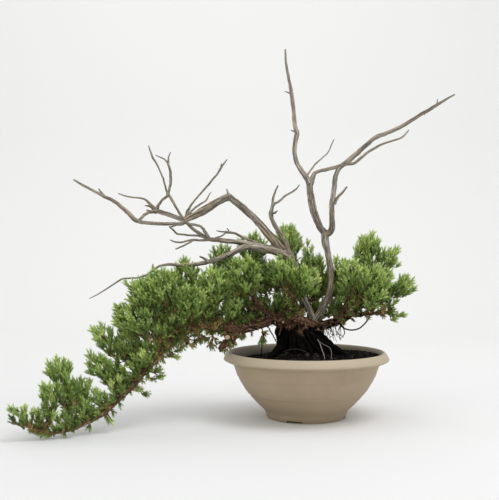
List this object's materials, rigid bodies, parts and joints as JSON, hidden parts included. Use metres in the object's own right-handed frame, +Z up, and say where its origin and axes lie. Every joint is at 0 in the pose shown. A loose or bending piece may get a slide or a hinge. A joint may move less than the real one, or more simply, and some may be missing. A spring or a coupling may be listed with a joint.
{
  "type": "tanuki juniper bonsai",
  "caption": "Tanuki juniper bonsai: green sprays along a cascading live branch, a bleached dead tree standing beside it, in a shallow round plastic bowl.",
  "frame": {"origin": "centre of the pot's flat underside, on the surface that it stands on", "axes": "+Z up, the front faces -Y, and the long live branch cascades towards -X"},
  "size_m": [0.7424, 0.3757, 0.6751],
  "materials": {
    "pot_plastic": "satin taupe moulded plastic",
    "soil_mix": "rough dark bark and peat mix",
    "bleached_wood": "weathered grey bare wood",
    "juniper_bark": "rough flaking reddish brown bark",
    "juniper_green": "waxy green needles"
  },
  "bodies": {
    "root": {"pot": "pot_plastic", "soil": "soil_mix", "deadwood": "bleached_wood", "live_wood": "juniper_bark", "foliage_right_1": "juniper_green", "foliage_right_2": "juniper_green", "foliage_right_3": "juniper_green", "foliage_right_4": "juniper_green", "foliage_right_5": "juniper_green", "foliage_right_6": "juniper_green", "foliage_right_7": "juniper_green", "foliage_right_8": "juniper_green", "foliage_right_9": "juniper_green", "foliage_crown_1": "juniper_green", "foliage_crown_2": "juniper_green", "foliage_crown_3": "juniper_green", "foliage_crown_4": "juniper_green", "foliage_crown_5": "juniper_green", "foliage_crown_6": "juniper_green", "foliage_crown_7": "juniper_green", "foliage_crown_8": "juniper_green", "foliage_left_1": "juniper_green", "foliage_left_2": "juniper_green", "foliage_left_3": "juniper_green", "foliage_left_4": "juniper_green", "foliage_left_5": "juniper_green", "foliage_left_6": "juniper_green", "foliage_left_7": "juniper_green", "foliage_shoulder_1": "juniper_green", "foliage_shoulder_2": "juniper_green", "foliage_shoulder_3": "juniper_green", "foliage_shoulder_4": "juniper_green", "foliage_shoulder_5": "juniper_green", "foliage_shoulder_6": "juniper_green", "foliage_shoulder_7": "juniper_green", "foliage_cascade_1": "juniper_green", "foliage_cascade_2": "juniper_green", "foliage_cascade_3": "juniper_green", "foliage_cascade_4": "juniper_green", "foliage_cascade_5": "juniper_green", "foliage_cascade_6": "juniper_green", "foliage_cascade_7": "juniper_green", "foliage_cascade_8": "juniper_green", "foliage_cascade_9": "juniper_green", "foliage_sprout_1": "juniper_green"}
  },
  "joints": []
}
